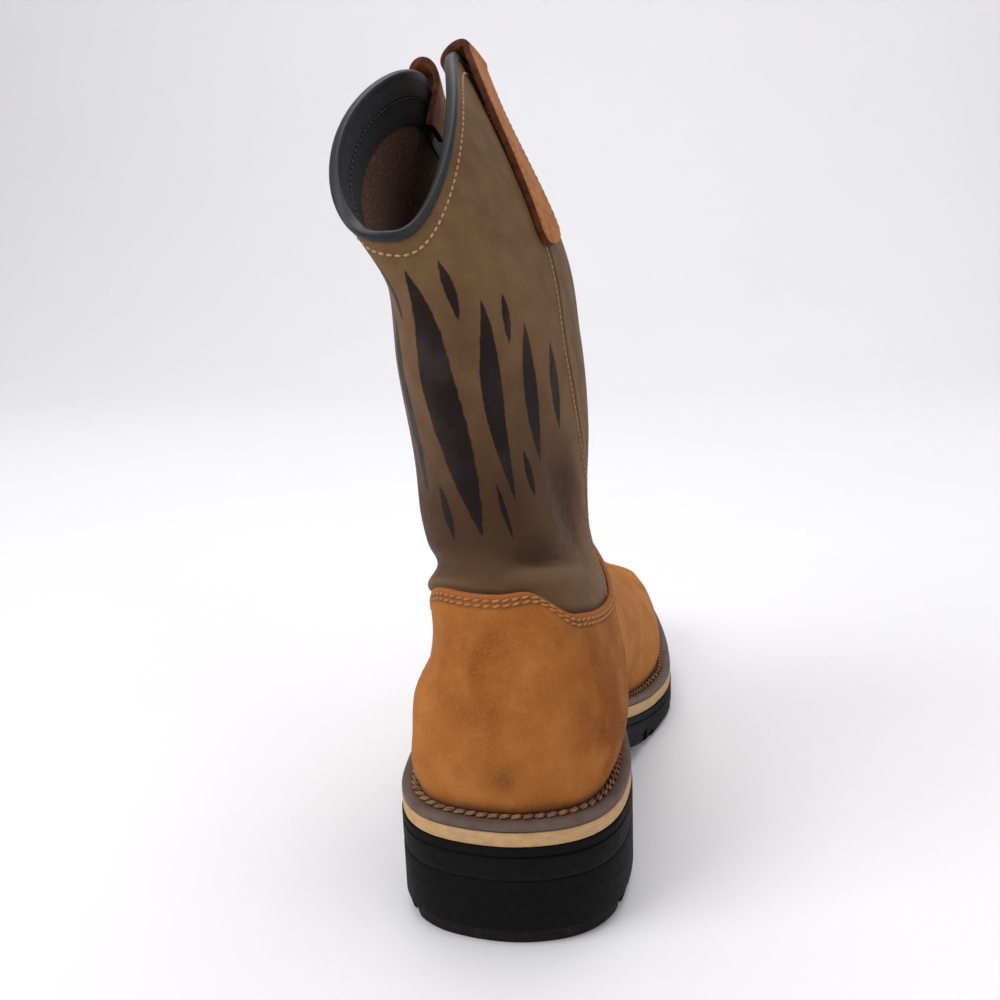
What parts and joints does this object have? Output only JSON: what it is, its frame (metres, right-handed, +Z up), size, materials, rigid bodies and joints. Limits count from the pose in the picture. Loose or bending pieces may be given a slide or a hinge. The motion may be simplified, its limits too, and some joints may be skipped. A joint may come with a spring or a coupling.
{
  "type": "pull-on work boot",
  "caption": "Pull-on leather work boot for the left foot, with scalloped collar, pull straps, stitched welt and lugged rubber sole with a block heel.",
  "frame": {"origin": "middle of the bounding box on the floor, under the sole", "axes": "+Y from heel to toe, +X to the medial side of this left boot, +Z up"},
  "size_m": [0.1134, 0.306, 0.3173],
  "materials": {
    "black_rubber": "matte moulded rubber",
    "tan_midsole": "matte tan midsole",
    "mauve_welt": "grey-mauve edge-finished welt",
    "brown_insole": "brown suede footbed",
    "taupe_leather": "taupe brown oiled leather",
    "tan_nubuck": "tan nubuck with smudges",
    "black_binding": "black binding tape with a slight sheen",
    "rust_strap": "rust-tan strap leather with rough cut edges"
  },
  "bodies": {
    "root": {"heel_block": "black_rubber", "outsole": "black_rubber", "midsole": "tan_midsole", "welt": "mauve_welt", "insole": "brown_insole", "upper": "taupe_leather", "counter": "tan_nubuck", "vamp": "tan_nubuck", "collar_binding": "black_binding", "pull_strap_lateral": "rust_strap", "pull_strap_medial": "rust_strap"}
  },
  "joints": []
}
